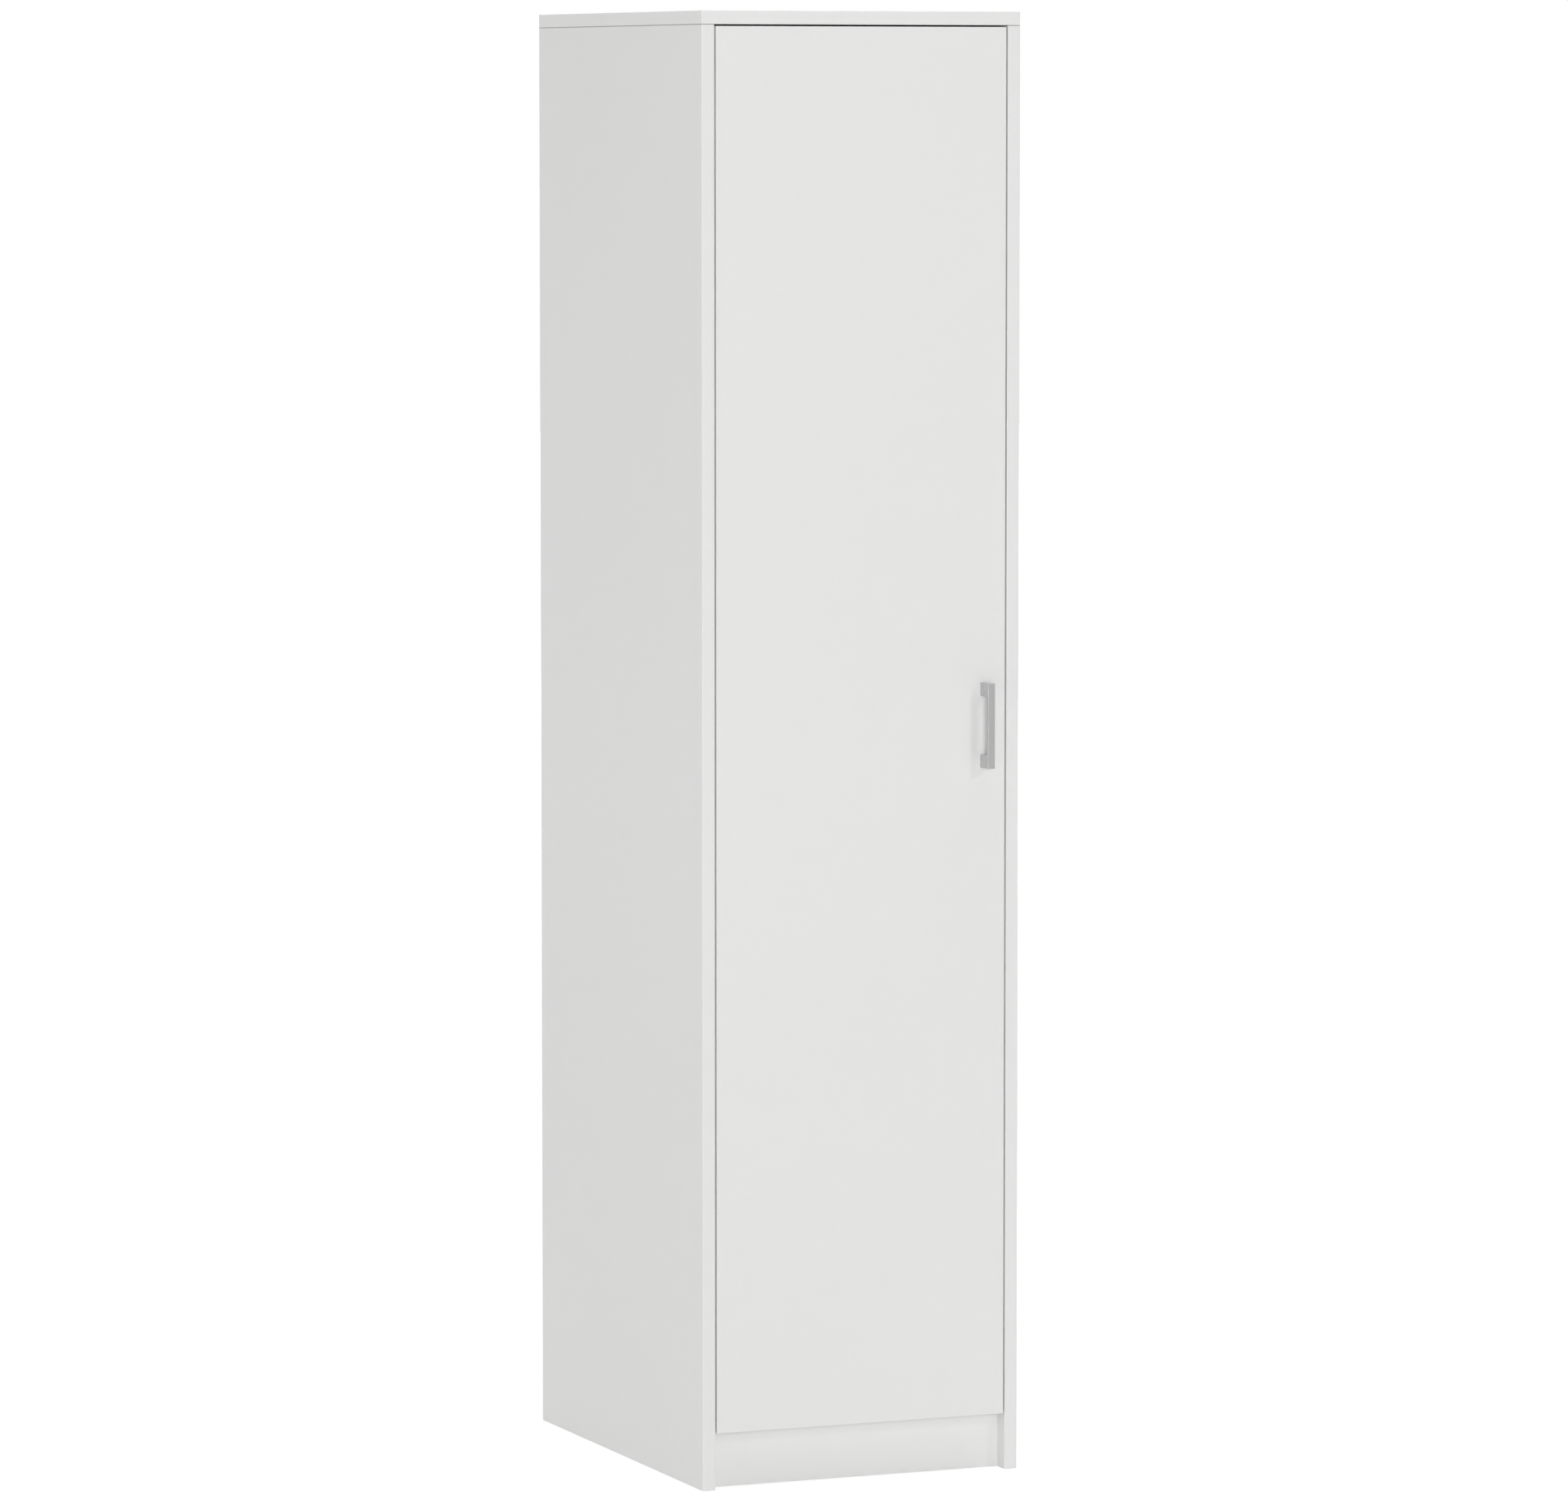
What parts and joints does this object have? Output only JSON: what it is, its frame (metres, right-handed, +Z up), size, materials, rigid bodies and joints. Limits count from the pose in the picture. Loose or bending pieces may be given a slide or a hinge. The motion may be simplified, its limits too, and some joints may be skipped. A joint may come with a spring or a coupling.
{
  "type": "narrow wardrobe",
  "caption": "Tall narrow white wardrobe: inset door on concealed hinges, slim bar handle, recessed plinth, hat shelf and clothes rail inside.",
  "frame": {"origin": "on the floor under the middle of the outline, handle included", "axes": "+X to the right seen from the front, +Y towards the back, +Z up"},
  "size_m": [0.456, 0.626, 1.955],
  "materials": {
    "white_board": "satin white melamine on chipboard",
    "back_board": "white-lacquered hardboard",
    "beech": "plain fluted beech",
    "handle": "satin anodised",
    "rail": "bright chromed steel tube",
    "zinc": "nickel-plated, smooth",
    "screw": "zinc-plated",
    "pad": "soft translucent grey"
  },
  "bodies": {
    "root": {"left_side": "white_board", "right_side": "white_board", "top_panel": "white_board", "bottom_panel": "white_board", "plinth": "white_board", "back_panel": "back_board", "hat_shelf": "white_board", "clothes_rail": "rail", "left_rail_bracket": "zinc", "right_rail_bracket": "zinc", "rail_bracket_screws": "screw", "cam_drums": "zinc", "cam_bolts": "screw", "dowels": "beech", "wall_bracket": "zinc", "wall_bracket_screw": "screw", "plate_screws": "screw", "arm_screws": "screw", "arm_pins": "screw", "hinge_plate_1": "zinc", "hinge_arm_1": "zinc", "hinge_plate_2": "zinc", "hinge_arm_2": "zinc", "hinge_plate_3": "zinc", "hinge_arm_3": "zinc", "hinge_plate_4": "zinc", "hinge_arm_4": "zinc"},
    "outer_levers": {"outer_lever_1": "zinc", "outer_lever_2": "zinc", "outer_lever_3": "zinc", "outer_lever_4": "zinc"},
    "inner_levers": {"inner_lever_1": "zinc", "inner_lever_2": "zinc", "inner_lever_3": "zinc", "inner_lever_4": "zinc"},
    "door": {"door": "white_board", "door_handle": "handle", "handle_screws": "screw", "stop_pads": "pad", "cup_pins": "screw", "cup_screws": "screw", "hinge_cup_1": "zinc", "hinge_cup_2": "zinc", "hinge_cup_3": "zinc", "hinge_cup_4": "zinc"}
  },
  "joints": [
    {"name": "outer_lever_swing", "type": "hinge", "parent": "root", "child": "outer_levers", "pos_m": [-0.199, -0.254, 1.0055], "axis": [0, 0, 1], "range_deg": [0, 26.6]},
    {"name": "door_swing", "type": "hinge", "parent": "outer_levers", "child": "door", "pos_m": [-0.1988, -0.2758, 1.0055], "axis": [0, 0, -1], "range_deg": [0, 121.6]},
    {"name": "inner_lever_swing", "type": "hinge", "parent": "root", "child": "inner_levers", "pos_m": [-0.174, -0.2634, 1.0055], "axis": [0, 0, 1], "range_deg": [0, 25.65]}
  ],
  "couplings": [
    {"joint": "outer_lever_swing", "follows": "door_swing", "ratio": 0.21875},
    {"joint": "inner_lever_swing", "follows": "door_swing", "ratio": 0.21094}
  ]
}
